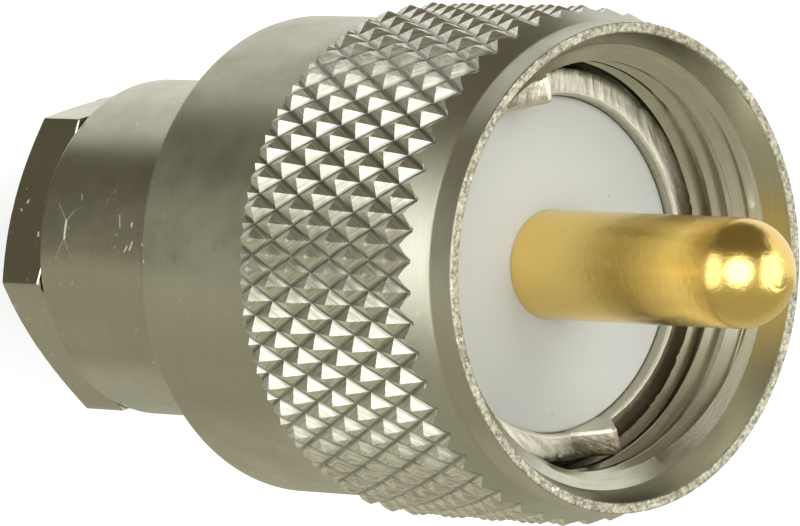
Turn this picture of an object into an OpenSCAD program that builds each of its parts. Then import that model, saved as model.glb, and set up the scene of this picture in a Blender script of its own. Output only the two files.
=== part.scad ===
// UHF coaxial cable plug, clamp type, with its coupling nut slid back on the shell.
// It stands on the hexagon of its clamp nut, with the axis along +Z towards the pin.

/* [Clamp nut] */
// Width across the flats of the hexagon
hex_flats = 11.2; // [10.8:0.1:11.6]
// Height of the hexagon, from the rear face to its shoulder
hex_height = 2.45; // [2:0.05:3.5]
// Angle of the turned chamfer on the rear corners
hex_chamfer = 30; // [15:1:40]
// Angle about the axis to the first corner of the hexagon
hex_turn = 14.6; // [0:0.1:60]
// Outside diameter of the threaded shank
shank_d = 9.4; // [8.8:0.1:9.8]
// Length of the threaded shank
shank_length = 5; // [3.5:0.1:6]
// Diameter of the cable entry
cable_d = 5.5; // [5:0.1:6]
// Seam left between the hexagon's shoulder and the shell
seam = 0.05; // [0.02:0.01:0.1]

/* [Shell] */
// Diameter of the neck
neck_d = 12.58; // [12.4:0.01:12.8]
// Length of the neck, from its rear face to the collar
neck_length = 17.5; // [16.5:0.1:18.5]
// Outside diameter of the toothed collar
collar_d = 14.18; // [13.9:0.01:14.4]
// Length of the collar, without its teeth
collar_length = 3.7; // [3.2:0.1:4.5]
// Diameter of the cup that holds the front insulator
cup_d = 12.2; // [11.8:0.01:12.4]
// Thickness of the web between the cable space and the insulators
web = 0.8; // [0.5:0.1:1.5]
// Diameter of the hole in the web
web_hole_d = 3.6; // [3.3:0.1:4]
// Diameter of the bore that holds both insulators behind the cup
barrel_d = 8.4; // [7:0.1:9]
// Height of a locating tooth above the collar
tooth_height = 1.2; // [0.8:0.1:1.5]
// Width of a tooth at its foot
tooth_foot = 2.1; // [1.6:0.1:2.6]
// Width of a tooth at its crest
tooth_crest = 0.2; // [0.1:0.05:0.5]
// Number of locating teeth
tooth_count = 2; // [2:1:4]
// Angle about the axis to the first tooth
tooth_turn = 109; // [0:1:180]

/* [Cable grip] */
// Thickness of the slip washer
washer_t = 0.8; // [0.5:0.1:1.2]
// Thickness of the rubber gasket
gasket_t = 3; // [2.4:0.1:3.6]
// Depth of the groove in the gasket's front face
gasket_groove = 0.9; // [0.5:0.1:1.2]
// Inside diameter of the gasket and the washer
gasket_bore_d = 5; // [4.7:0.1:5.1]
// Length of the braid clamp's flange
braid_flange = 1; // [0.6:0.1:1.4]
// Length of the braid clamp's nose
braid_nose = 1.6; // [1:0.1:2]
// Diameter of the braid clamp's nose
braid_nose_d = 6; // [5:0.1:7]
// Bore of the braid clamp
braid_bore_d = 3.3; // [3:0.1:3.6]
// Room left between the braid clamp and the web
nose_gap = 0.2; // [0.1:0.05:0.4]

/* [Insulators] */
// Depth of the insulator's face behind the collar's face
face_recess = 0.5; // [0.3:0.05:0.9]
// Thickness of the wide part of the front insulator, whose narrow part fills the rest of the neck
disc_t = 2.9; // [2.4:0.1:3.4]
// Thickness of the rear insulator
rear_t = 2; // [1.4:0.1:2.4]

/* [Centre contact] */
// Diameter of the pin
pin_d = 3.96; // [3.9:0.01:4]
// Reach of the pin in front of the insulator, with its round tip
pin_reach = 11.6; // [10.5:0.1:12.5]
// Diameter of the pin's turned-down part inside the insulator
pin_neck_d = 3.5; // [3.3:0.05:3.6]
// Diameter of the collar that the two insulators hold
contact_collar_d = 5; // [4.6:0.1:5.1]
// Thickness of that collar
contact_collar_t = 0.9; // [0.6:0.1:1.3]
// Diameter of the solder cup
solder_cup_d = 3.1; // [2.8:0.1:3.3]
// Bore of the solder cup
solder_bore_d = 1.2; // [1:0.1:1.6]
// Distance from the rear insulator's rear face to the end of the solder cup
solder_cup_inset = 0.3; // [0.1:0.1:0.8]
// Depth of the solder cup's bore
solder_bore_depth = 2.8; // [2:0.1:3.5]

/* [Retaining ring] */
// Outside diameter of the ring
ring_d = 15.3; // [15:0.05:15.6]
// Thickness of the ring along the axis
ring_t = 1; // [0.7:0.05:1.3]
// Width of the split
ring_split = 1.6; // [1:0.1:2.4]
// Depth of the ring's groove in the neck
groove_depth = 0.54; // [0.4:0.01:0.7]
// Width of the land between the groove and the collar
groove_land = 0.25; // [0.2:0.05:0.5]

/* [Coupling nut] */
// Diameter of the plain parts behind and in front of the knurl
nut_d = 17.6; // [17.4:0.01:17.8]
// Length of the nut
nut_length = 16.38; // [15.4:0.01:17.4]
// Thickness of the flange at its rear
flange_t = 1.4; // [1:0.1:2]
// Inside diameter behind the thread
recess_d = 16.2; // [16:0.05:16.4]
// Length behind the thread, in which the ring travels
recess_length = 7.5; // [6.5:0.1:8]
// Major diameter of the thread
thread_major_d = 15.88; // [15.6:0.01:15.9]
// Minor diameter of the thread
thread_minor_d = 14.8; // [14.7:0.01:14.9]
// Diameter of the mouth at the rim
mouth_d = 16.88; // [16.6:0.01:17]
// Length of the tapered lead-in
lead_in = 0.98; // [0.7:0.01:1.3]
// Chamfer on the rear edge
nut_edge = 0.15; // [0.05:0.01:0.3]

/* [Knurl] */
// Diameter over the points of the knurl
knurl_crest_d = 18.8; // [18.5:0.01:19]
// Diameter at the bottom of its grooves
knurl_root_d = 18.16; // [18.1:0.01:18.3]
// Number of diamonds around the nut
knurl_count = 52; // [44:4:60]
// Length of a diamond along the axis
diamond_length = 2.03; // [1.8:0.01:2.3]
// Distance from the nut's rear face to the knurl
knurl_start = 5.86; // [5.2:0.01:6.5]
// Length of the chamfer in front of the knurl
knurl_chamfer = 0.55; // [0.3:0.01:0.8]
// Least length of the plain lip at the rim
lip_length = 1.1; // [0.8:0.01:1.3]
// Angle about the axis to the first point of the knurl
knurl_turn = 4.3; // [0:0.1:7]

/* [Fits] */
// Radial clearance of parts that turn or slide on each other
running = 0.06; // [0.03:0.01:0.09]
// Radial clearance of the loose parts in the cable space
loose = 0.1; // [0.05:0.01:0.2]
// Gap left at a stop
stop_gap = 0.05; // [0.02:0.01:0.1]

/* [Hidden] */
$fn = 96;

nickel = [0.70, 0.69, 0.62];
ptfe = [0.86, 0.86, 0.83];
gold = [0.85, 0.66, 0.30];
brass = [0.72, 0.60, 0.36];
rubber = [0.13, 0.13, 0.13];

// Heights along the axis, from the rear face of the hexagon.
shell_z = hex_height + seam;
collar_z = shell_z + neck_length;
front_z = collar_z + collar_length;
face_z = front_z - face_recess;
cup_floor_z = face_z - disc_t;
tip_z = face_z + pin_reach;

// The cable grip is stacked on the clamp nut's shank, and the web and the insulators follow it.
shank_top_z = hex_height + shank_length;
washer_z = shank_top_z + stop_gap;
gasket_z = washer_z + washer_t + stop_gap;
braid_z = gasket_z + gasket_t + stop_gap;
web_z = braid_z + braid_flange + braid_nose + nose_gap;
barrel_z = web_z + web;
tail_z = barrel_z + rear_t;

// The clamp nut's thread turns in the shell's bore.
hex_r = hex_flats / 2 / cos(30);
clamp_bore_r = shank_d / 2 + loose;
cable_r = cable_d / 2;
entry_edge = 0.4;

// The groove lies just behind the collar, and the ring runs in it.
neck_r = neck_d / 2;
groove_top_z = collar_z - groove_land;
ring_z = groove_top_z - stop_gap - ring_t;
groove_z = ring_z - stop_gap;
groove_r = neck_r - groove_depth;
ring_bore_r = groove_r + 2 * running;

// The nut hangs on the ring by the rear end of its thread.
thread_z = ring_z + ring_t + stop_gap;
nut_z = thread_z - recess_length - flange_t;
rim_z = nut_z + nut_length;
lead_z = rim_z - lead_in;
thread_bevel = (thread_major_d - thread_minor_d) / 2;

// The knurl's lattice: points and groove crossings alternate around each level.
knurl_r = knurl_crest_d / 2;
root_r = knurl_root_d / 2;
half_turn = 180 / knurl_count;
half_length = diamond_length / 2;
runout = 0.17;
knurl_z = nut_z + knurl_start;
knurl_room = nut_length - knurl_start - lip_length - knurl_chamfer - half_length / 2 - runout;
last_level = floor(knurl_room / half_length);
knurl_end_z = level_z(last_level) + runout;

// The knurled band overlaps the turned core, which steps back a little at the chamfer.
core_r = root_r - 0.5;
band_bore_r = core_r - 0.3;
band_overlap = 0.3;
step_r = root_r - 0.05;
step_length = 0.05;
chamfer_slope = (root_r - nut_d / 2) / knurl_chamfer;

function level_z(j) = knurl_z + half_length / 2 + j * half_length;
function ring_point(r, m, z) = [r * cos(knurl_turn + m * half_turn), r * sin(knurl_turn + m * half_turn), z];

module turned(profile) {
    rotate_extrude() polygon(profile);
}

module tooth_prism(turn) {
    above = tooth_height + 1;
    rotate([90, 0, 90 + turn])
        linear_extrude(height = collar_d)
            polygon([[-tooth_foot / 2, front_z - 1], [tooth_foot / 2, front_z - 1], [tooth_foot / 2, front_z],
                     [tooth_crest / 2, front_z + tooth_height], [tooth_crest / 2, front_z + above],
                     [-tooth_crest / 2, front_z + above], [-tooth_crest / 2, front_z + tooth_height],
                     [-tooth_foot / 2, front_z]]);
}

// The turned shell: neck, groove for the retaining ring, and collar with its cup and teeth.
module shell() {
    edge = 0.1;
    color(nickel)
        difference() {
            turned([
                [clamp_bore_r, shell_z], [neck_r - edge, shell_z], [neck_r, shell_z + edge],
                [neck_r, groove_z], [groove_r, groove_z], [groove_r, groove_top_z], [neck_r, groove_top_z],
                [neck_r, collar_z], [collar_d / 2, collar_z],
                [collar_d / 2, front_z + tooth_height], [cup_d / 2, front_z + tooth_height],
                [cup_d / 2, cup_floor_z], [barrel_d / 2, cup_floor_z], [barrel_d / 2, barrel_z],
                [web_hole_d / 2, barrel_z], [web_hole_d / 2, web_z], [clamp_bore_r, web_z]
            ]);
            difference() {
                translate([0, 0, front_z]) cylinder(d = collar_d + 2, h = tooth_height + 0.5);
                for (k = [0 : tooth_count - 1]) tooth_prism(tooth_turn + k * 360 / tooth_count);
            }
        }
}

// The white disc in the cup, with a tail behind it and a pocket for the contact's collar.
module front_insulator() {
    color(ptfe)
        turned([
            [contact_collar_d / 2, tail_z], [barrel_d / 2, tail_z], [barrel_d / 2, cup_floor_z],
            [cup_d / 2, cup_floor_z], [cup_d / 2, face_z],
            [pin_neck_d / 2, face_z], [pin_neck_d / 2, tail_z + contact_collar_t],
            [contact_collar_d / 2, tail_z + contact_collar_t]
        ]);
}

// The disc that closes the pocket behind the contact's collar.
module rear_insulator() {
    color(ptfe)
        turned([
            [solder_cup_d / 2, barrel_z], [barrel_d / 2, barrel_z],
            [barrel_d / 2, tail_z], [solder_cup_d / 2, tail_z]
        ]);
}

// The gold pin with its round tip, a neck and a collar that hold it, and the solder cup behind them.
module center_contact() {
    cup_end_z = barrel_z + solder_cup_inset;
    joined = 0.1;
    color(gold)
        difference() {
            union() {
                translate([0, 0, cup_end_z]) cylinder(d = solder_cup_d, h = tail_z - cup_end_z + joined);
                translate([0, 0, tail_z]) cylinder(d = contact_collar_d, h = contact_collar_t);
                translate([0, 0, tail_z + joined]) cylinder(d = pin_neck_d, h = face_z - tail_z);
                translate([0, 0, face_z]) cylinder(d = pin_d, h = pin_reach - pin_d / 2);
                translate([0, 0, tip_z - pin_d / 2]) sphere(d = pin_d);
            }
            translate([0, 0, cup_end_z - 1]) cylinder(d = solder_bore_d, h = solder_bore_depth + 1);
        }
}

// The split ring that turns in the neck's groove and keeps the nut on the shell.
module retaining_ring() {
    color(brass)
        translate([0, 0, ring_z])
            difference() {
                cylinder(d = ring_d, h = ring_t);
                translate([0, 0, -1]) cylinder(r = ring_bore_r, h = ring_t + 2);
                translate([0, -ring_split / 2, -1]) cube([ring_d, ring_split, ring_t + 2]);
            }
}

// A band of pyramids rolled into the nut, which runs out into the chamfer in front of it.
module knurl_band() {
    n = knurl_count;
    last = last_level - 1;
    steps = 2 * n;
    slope = (knurl_r - root_r) / half_length;
    run = (runout + half_length) * chamfer_slope / (slope + chamfer_slope);
    cut_z = level_z(last) + run;
    cut_r = root_r + run * slope;
    reach = 1 - runout / half_length;

    start = [for (m = [0 : steps - 1]) each [
        ring_point((knurl_r + root_r) / 2, m, knurl_z), ring_point(root_r, m + 0.5, knurl_z)]];
    levels = [for (j = [0 : last]) for (m = [0 : steps - 1])
        ring_point((m + j) % 2 == 0 ? knurl_r : root_r, m, level_z(j))];
    cut = [for (k = [0 : n - 1]) ring_point(cut_r, 2 * k + last_level % 2, cut_z)];
    crossing = [for (k = [0 : n - 1]) ring_point(root_r, 2 * k + 1 + last_level % 2, level_z(last_level))];
    end = [for (k = [0 : n - 1]) each [
        ring_point(root_r, 2 * k - reach + last_level % 2, knurl_end_z),
        ring_point(root_r, 2 * k + reach + last_level % 2, knurl_end_z)]];
    inner_start = [for (m = [0 : steps - 1]) ring_point(band_bore_r, m, knurl_z)];
    inner_end = [for (k = [0 : n - 1]) each [
        ring_point(band_bore_r, 2 * k - reach + last_level % 2, knurl_end_z),
        ring_point(band_bore_r, 2 * k + reach + last_level % 2, knurl_end_z)]];

    start_at = 0;
    level_at = len(start);
    cut_at = level_at + len(levels);
    crossing_at = cut_at + n;
    end_at = crossing_at + n;
    inner_start_at = end_at + steps;
    inner_end_at = inner_start_at + steps;
    function on_level(j, m) = level_at + j * steps + m % steps;
    function on_start(i) = start_at + i % (2 * steps);
    function on_end(i) = end_at + (i + steps) % steps;
    function on_inner_start(m) = inner_start_at + m % steps;
    function on_inner_end(i) = inner_end_at + (i + steps) % steps;
    shift = last_level % 2;

    first_row = [for (m = [0 : steps - 1]) let (
            a = on_level(0, m), b = on_level(0, m + 1),
            s = on_start(2 * m), g = on_start(2 * m + 1), t = on_start(2 * m + 2))
        each [[a, s, g], [a, g, b], [b, g, t]]];
    rows = [for (j = [0 : 1 : last - 1]) for (m = [0 : steps - 1]) let (
            a = on_level(j, m), b = on_level(j, m + 1),
            c = on_level(j + 1, m), d = on_level(j + 1, m + 1))
        each (m + j) % 2 == 0 ? [[a, b, c], [b, d, c]] : [[a, d, c], [a, b, d]]];
    last_row = [for (k = [0 : n - 1]) let (
            m = 2 * k + shift,
            foot = on_level(last, m), point = on_level(last, m + 1), next_foot = on_level(last, m + 2),
            s = cut_at + k, s2 = cut_at + (k + 1) % n, c = crossing_at + k,
            e0 = on_end(2 * k), e1 = on_end(2 * k + 1), e2 = on_end(2 * k + 2))
        each [[foot, c, s], [s, c, e1], [s, e1, e0], [foot, point, c], [point, next_foot, c],
              [next_foot, s2, c], [s2, e2, c], [c, e2, e1]]];
    start_face = [for (m = [0 : steps - 1]) let (
            s = on_start(2 * m), g = on_start(2 * m + 1), t = on_start(2 * m + 2),
            p = on_inner_start(m), q = on_inner_start(m + 1))
        each [[s, p, g], [g, p, q], [g, q, t]]];
    end_face = [for (i = [0 : steps - 1])
        each [[on_end(i), on_end(i + 1), on_inner_end(i)],
              [on_end(i + 1), on_inner_end(i + 1), on_inner_end(i)]]];
    inner_wall = [for (k = [0 : n - 1]) let (
            m = 2 * k + shift,
            a = on_inner_start(m), b = on_inner_start(m + 1), c = on_inner_start(m + 2),
            e0 = on_inner_end(2 * k), e1 = on_inner_end(2 * k + 1), e2 = on_inner_end(2 * k + 2))
        each [[a, e0, e1], [a, e1, b], [b, e1, e2], [b, e2, c]]];

    polyhedron(
        points = concat(start, levels, cut, crossing, end, inner_start, inner_end),
        faces = [for (f = concat(first_row, rows, last_row, start_face, end_face, inner_wall))
            [f[2], f[1], f[0]]]);
}

// The nut: rear flange, plain grip, knurl, lip, tapered mouth and the bore of its thread.
module coupling_nut() {
    rim_edge = 0.06;
    groove_relief = 0.06;
    color(nickel)
        union() {
            turned([
                [neck_r + running, nut_z], [nut_d / 2 - nut_edge, nut_z], [nut_d / 2, nut_z + nut_edge],
                [nut_d / 2, knurl_z + band_overlap], [core_r, knurl_z + band_overlap],
                [core_r, knurl_end_z - band_overlap], [step_r, knurl_end_z - band_overlap],
                [step_r, knurl_end_z - step_length],
                [nut_d / 2, knurl_end_z + knurl_chamfer], [nut_d / 2, rim_z - rim_edge],
                [nut_d / 2 - rim_edge, rim_z], [mouth_d / 2, rim_z],
                [thread_major_d / 2 + groove_relief, lead_z], [thread_minor_d / 2, lead_z - thread_bevel],
                [thread_minor_d / 2, thread_z], [recess_d / 2, thread_z],
                [recess_d / 2, nut_z + flange_t], [neck_r + running, nut_z + flange_t]
            ]);
            knurl_band();
        }
}

// The hexagon with its chamfered rear corners, and the hollow shank that presses on the washer.
module clamp_nut() {
    flat_r = hex_flats / 2;
    color(nickel)
        difference() {
            union() {
                intersection() {
                    rotate([0, 0, hex_turn]) cylinder(r = hex_r, h = hex_height, $fn = 6);
                    turned([[0, 0], [flat_r, 0], [flat_r + 2, 2 * tan(hex_chamfer)],
                            [flat_r + 2, hex_height], [0, hex_height]]);
                }
                translate([0, 0, hex_height / 2]) cylinder(d = shank_d, h = shank_top_z - hex_height / 2);
            }
            translate([0, 0, -1]) cylinder(r = cable_r, h = shank_top_z + 2);
            turned([[0, -1], [cable_r + entry_edge + 1, -1], [cable_r, entry_edge], [0, entry_edge]]);
        }
}

// The washer that lets the clamp nut turn on the gasket.
module slip_washer() {
    color(brass)
        turned([
            [gasket_bore_d / 2, washer_z], [clamp_bore_r - loose, washer_z],
            [clamp_bore_r - loose, washer_z + washer_t], [gasket_bore_d / 2, washer_z + washer_t]
        ]);
}

// The rubber gasket, with a groove in its front face for the braid clamp's edge.
module cable_gasket() {
    mid_r = (gasket_bore_d / 2 + clamp_bore_r - loose) / 2;
    color(rubber)
        turned([
            [gasket_bore_d / 2, gasket_z], [clamp_bore_r - loose, gasket_z],
            [clamp_bore_r - loose, gasket_z + gasket_t], [mid_r + gasket_groove / 2, gasket_z + gasket_t],
            [mid_r, gasket_z + gasket_t - gasket_groove], [mid_r - gasket_groove / 2, gasket_z + gasket_t],
            [gasket_bore_d / 2, gasket_z + gasket_t]
        ]);
}

// The ferrule that the cable's braid folds over: flange behind, nose in front.
module braid_clamp() {
    nose_edge = 0.3;
    color(brass)
        turned([
            [braid_bore_d / 2, braid_z], [clamp_bore_r - loose, braid_z],
            [clamp_bore_r - loose, braid_z + braid_flange], [braid_nose_d / 2, braid_z + braid_flange],
            [braid_nose_d / 2, braid_z + braid_flange + braid_nose - nose_edge],
            [braid_nose_d / 2 - nose_edge, braid_z + braid_flange + braid_nose],
            [braid_bore_d / 2, braid_z + braid_flange + braid_nose]
        ]);
}

shell();
front_insulator();
rear_insulator();
center_contact();
retaining_ring();
coupling_nut();
clamp_nut();
slip_washer();
cable_gasket();
braid_clamp();
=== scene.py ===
import math

import bmesh
import bpy
from mathutils import Matrix, Vector, noise


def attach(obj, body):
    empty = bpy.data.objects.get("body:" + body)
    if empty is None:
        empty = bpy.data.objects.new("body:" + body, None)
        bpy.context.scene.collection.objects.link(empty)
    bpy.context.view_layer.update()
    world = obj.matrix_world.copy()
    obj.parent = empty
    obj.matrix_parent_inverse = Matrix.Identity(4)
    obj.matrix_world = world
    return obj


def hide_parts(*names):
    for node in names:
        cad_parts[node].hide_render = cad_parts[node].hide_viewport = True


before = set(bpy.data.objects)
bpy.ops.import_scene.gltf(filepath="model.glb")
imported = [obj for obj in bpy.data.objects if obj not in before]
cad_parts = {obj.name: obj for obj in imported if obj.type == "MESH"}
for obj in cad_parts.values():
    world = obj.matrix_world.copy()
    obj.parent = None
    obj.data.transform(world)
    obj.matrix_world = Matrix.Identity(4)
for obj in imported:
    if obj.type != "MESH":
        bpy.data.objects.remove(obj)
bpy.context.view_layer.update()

MM = 0.001

# The camera looks down on the plug from the side of its clamp nut, through a long lens, so that
# the plug's axis runs across the picture to the right and a little down.
picture_width = 800
focal_px = 9552.3
sensor_width = 36.0
camera_distance = 0.350
camera_tilt = math.radians(43.579)
camera_roll = math.radians(2.676)
aim_point = Vector((0, 0, 0.0154))
aim_right_px = 0.74
aim_up_px = 5.49

level_right = Vector((math.cos(camera_tilt), 0, math.sin(camera_tilt)))
level_up = Vector((0, 1, 0))
to_camera = level_right.cross(level_up)
camera_right = level_right * math.cos(camera_roll) + level_up * math.sin(camera_roll)
camera_up = level_up * math.cos(camera_roll) - level_right * math.sin(camera_roll)
metres_per_px = camera_distance / focal_px
camera_place = aim_point + to_camera * camera_distance
camera_place -= camera_right * aim_right_px * metres_per_px
camera_place -= camera_up * aim_up_px * metres_per_px

camera_data = bpy.data.cameras.new("camera")
camera_data.sensor_width = sensor_width
camera_data.lens = focal_px * sensor_width / picture_width
camera_data.clip_start = 0.01
camera_data.clip_end = 20
camera = bpy.data.objects.new("camera", camera_data)
camera.matrix_world = Matrix((
    (camera_right.x, camera_up.x, to_camera.x, camera_place.x),
    (camera_right.y, camera_up.y, to_camera.y, camera_place.y),
    (camera_right.z, camera_up.z, to_camera.z, camera_place.z),
    (0, 0, 0, 1),
))
bpy.context.collection.objects.link(camera)
bpy.context.scene.camera = camera


# The shell is one turned brass piece with satin nickel plate: a plain neck, a groove for the ring
# that holds the coupling nut, and a collar that is milled down to leave two wedge teeth.
shell_rear_z = 2.5
neck_r = 6.29
neck_bore_r = 4.8
groove_r = 5.75
groove_z = (18.65, 19.75)
collar_z = 20.0
collar_r = 7.09
collar_front_z = 23.7
cup_r = 6.1
cup_floor_z = 20.3
barrel_r = 4.2
barrel_z = 15.0
web_z = 14.2
web_hole_r = 1.8
tooth_turns = (109.0, 289.0)
tooth_foot = 2.1
tooth_crest = 0.2
tooth_height = 1.2
satin_nickel = ((0.56, 0.555, 0.455, 1), (0.51, 0.50, 0.395, 1))
speck_colour = (0.90, 0.88, 0.78, 1)


def add_node(tree, kind, links=(), **settings):
    made = tree.nodes.new(kind)
    for name, value in settings.items():
        setattr(made, name, value)
    for socket, value in dict(links).items():
        if hasattr(value, "is_output"):
            tree.links.new(value, made.inputs[socket])
        else:
            made.inputs[socket].default_value = value
    return made


def calculate(tree, operation, first, second=0.0, third=0.0):
    made = add_node(tree, "ShaderNodeMath", {0: first, 1: second, 2: third}, operation=operation)
    return made.outputs[0]


def new_material(name):
    material = bpy.data.materials.new(name)
    material.use_nodes = True
    tree = material.node_tree
    shader = tree.nodes["Principled BSDF"]
    return material, tree, shader


def turned_coordinates(tree):
    """Distance from the axis, cosine and sine of the angle about it, and height, all in mm."""
    place = add_node(tree, "ShaderNodeTexCoord").outputs["Object"]
    parts = add_node(tree, "ShaderNodeSeparateXYZ", {0: place}).outputs
    x = calculate(tree, "MULTIPLY", parts[0], 1000)
    y = calculate(tree, "MULTIPLY", parts[1], 1000)
    z = calculate(tree, "MULTIPLY", parts[2], 1000)
    square = calculate(tree, "MULTIPLY_ADD", x, x, calculate(tree, "MULTIPLY", y, y))
    radius = calculate(tree, "SQRT", calculate(tree, "ADD", square, 1e-6))
    return radius, calculate(tree, "DIVIDE", x, radius), calculate(tree, "DIVIDE", y, radius), z


def tool_marks(tree, coordinates, lines_per_mm, streak):
    """Noise drawn out round the axis, as a turning tool or a polishing cloth leaves it."""
    radius, cosine, sine, height = coordinates
    vector = add_node(tree, "ShaderNodeCombineXYZ", {
        0: calculate(tree, "MULTIPLY", cosine, streak),
        1: calculate(tree, "MULTIPLY", sine, streak),
        2: calculate(tree, "MULTIPLY", height, lines_per_mm),
    }).outputs[0]
    drawn = add_node(tree, "ShaderNodeTexNoise", {
        "Vector": vector, "W": calculate(tree, "MULTIPLY", radius, lines_per_mm),
        "Scale": 1.0, "Detail": 3.0, "Roughness": 0.6,
    }, noise_dimensions="4D")
    return drawn.outputs["Fac"]


def near_line(tree, place, start, end, width):
    """1 on the line between two points, given in mm, and 0 further from it than the width."""
    start = Vector(start)
    run = Vector(end) - start
    offset = add_node(tree, "ShaderNodeVectorMath", {0: place, 1: (1000, 1000, 1000), 2: -start},
                      operation="MULTIPLY_ADD").outputs[0]
    along_it = add_node(tree, "ShaderNodeVectorMath", {0: offset, 1: run.normalized()},
                        operation="DOT_PRODUCT").outputs["Value"]
    along_it = calculate(tree, "MINIMUM", calculate(tree, "MAXIMUM", along_it, 0.0), run.length)
    foot = add_node(tree, "ShaderNodeVectorMath", {0: run.normalized(), "Scale": along_it},
                    operation="SCALE").outputs[0]
    away = add_node(tree, "ShaderNodeVectorMath", {0: offset, 1: foot}, operation="DISTANCE").outputs["Value"]
    return add_node(tree, "ShaderNodeMapRange", {
        "Value": away, "From Min": width * 0.3, "From Max": width, "To Min": 1.0, "To Max": 0.0}).outputs[0]


def nickel_plate(name, colours, roughness, mark_depth, grain_depth, contrast=0.12, specks=0.0, nicks=()):
    """Nickel over brass: cloudy colour, marks round the axis, fine grain, and bright nicks. Each nick
    of its own is a line from one point to another, with its width and its strength."""
    material, tree, shader = new_material(name)
    coordinates = turned_coordinates(tree)
    marks = tool_marks(tree, coordinates, 16.0, 5.0)
    place = add_node(tree, "ShaderNodeTexCoord").outputs["Object"]
    grain = add_node(tree, "ShaderNodeTexNoise", {
        "Vector": place, "Scale": 13000.0, "Detail": 2.0, "Roughness": 0.6}).outputs["Fac"]
    cloud = add_node(tree, "ShaderNodeTexNoise", {
        "Vector": place, "Scale": 520.0, "Detail": 5.0, "Roughness": 0.65}).outputs["Fac"]
    tint = add_node(tree, "ShaderNodeMapRange", {
        "Value": cloud, "From Min": 0.35, "From Max": 0.68, "To Min": 0.0, "To Max": 1.0}).outputs[0]
    colour = add_node(tree, "ShaderNodeMix", {0: tint, 6: colours[0], 7: colours[1]},
                      data_type="RGBA").outputs[2]
    shade = add_node(tree, "ShaderNodeMapRange", {
        "Value": marks, "From Min": 0.3, "From Max": 0.7,
        "To Min": 1 - contrast, "To Max": 1.0}).outputs[0]
    colour = add_node(tree, "ShaderNodeVectorMath", {0: colour, 1: shade}, operation="MULTIPLY").outputs[0]
    rough = add_node(tree, "ShaderNodeMapRange", {
        "Value": cloud, "From Min": 0.3, "From Max": 0.7,
        "To Min": roughness * 0.85, "To Max": roughness * 1.2}).outputs[0]
    if specks:
        spots = add_node(tree, "ShaderNodeTexNoise", {
            "Vector": place, "Scale": 2300.0, "Detail": 1.5, "Roughness": 0.7}).outputs["Fac"]
        nick = add_node(tree, "ShaderNodeMapRange", {
            "Value": spots, "From Min": 0.70, "From Max": 0.76, "To Min": 0.0, "To Max": specks}).outputs[0]
        for start, end, width, strength in nicks:
            line = near_line(tree, place, start, end, width)
            nick = calculate(tree, "MAXIMUM", nick, calculate(tree, "MULTIPLY", line, strength))
        colour = add_node(tree, "ShaderNodeMix", {0: nick, 6: colour, 7: speck_colour},
                          data_type="RGBA").outputs[2]
        rough = calculate(tree, "MAXIMUM", rough, calculate(tree, "MULTIPLY", nick, 0.7))
    tree.links.new(colour, shader.inputs["Base Color"])
    tree.links.new(rough, shader.inputs["Roughness"])
    first = add_node(tree, "ShaderNodeBump", {
        "Strength": 1.0, "Distance": mark_depth * MM, "Height": marks})
    second = add_node(tree, "ShaderNodeBump", {
        "Strength": 1.0, "Distance": grain_depth * MM, "Height": grain, "Normal": first.outputs[0]})
    tree.links.new(second.outputs[0], shader.inputs["Normal"])
    shader.inputs["Metallic"].default_value = 1.0
    return material, tree, shader


def ring(points_r, points_z, angles):
    return [(r * MM * math.cos(a), r * MM * math.sin(a), z * MM)
            for r, z, a in zip(points_r, points_z, angles)]


def round_corners(profile, steps=3):
    """Points (r, z, cut): a corner with a cut above 0 becomes a small arc that begins that far away,
    between two more rings that keep the faces beside it flat."""
    points = []
    for place, (r, z, cut) in enumerate(profile):
        corner = Vector((r, z))
        if cut == 0:
            points.append((r, z))
            continue
        back = (Vector(profile[place - 1][:2]) - corner).normalized() * cut
        onward = (Vector(profile[(place + 1) % len(profile)][:2]) - corner).normalized() * cut
        points.append(tuple(corner + back * 1.3))
        for step in range(steps + 1):
            t = step / steps
            spot = corner + back * (1 - t) ** 2 + onward * t ** 2
            points.append((spot.x, spot.y))
        points.append(tuple(corner + onward * 1.3))
    return points


def make_piece(name, points, faces, material, sharp=32):
    mesh = bpy.data.meshes.new(name)
    mesh.from_pydata(points, [], faces)
    cleaned = bmesh.new()
    cleaned.from_mesh(mesh)
    bmesh.ops.remove_doubles(cleaned, verts=cleaned.verts, dist=2e-7)
    bmesh.ops.dissolve_degenerate(cleaned, edges=cleaned.edges, dist=1e-7)
    bmesh.ops.recalc_face_normals(cleaned, faces=cleaned.faces)
    for face in cleaned.faces:
        face.smooth = True
    cleaned.to_mesh(mesh)
    cleaned.free()
    mesh.set_sharp_from_angle(angle=math.radians(sharp))
    mesh.materials.append(material)
    piece = bpy.data.objects.new(name, mesh)
    bpy.context.collection.objects.link(piece)
    return piece


def join_rings(rings, closed=True):
    """Points and faces of a skin through rings of equal count, each closed round the axis."""
    count = len(rings[0])
    points = [point for one in rings for point in one]
    faces = []
    for level in range(len(rings) if closed else len(rings) - 1):
        low = level * count
        high = (level + 1) % len(rings) * count
        for i in range(count):
            k = (i + 1) % count
            faces.append((low + i, low + k, high + k, high + i))
    return points, faces


def even_angles(count, start=0.0):
    return [math.radians(start) + 2 * math.pi * i / count for i in range(count)]


def turned_rings(profile, angles):
    return [ring([r] * len(angles), [z] * len(angles), angles) for r, z in profile]


# Angles round the shell at a given radius: some follow the flanks of the teeth, and the rest are
# spread evenly between them.
tooth_across = [-1.05, -0.85, -0.6, -0.35, -0.13, -0.1, -0.05, 0.05, 0.1, 0.13, 0.35, 0.6, 0.85, 1.05]
between_teeth = 170


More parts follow.
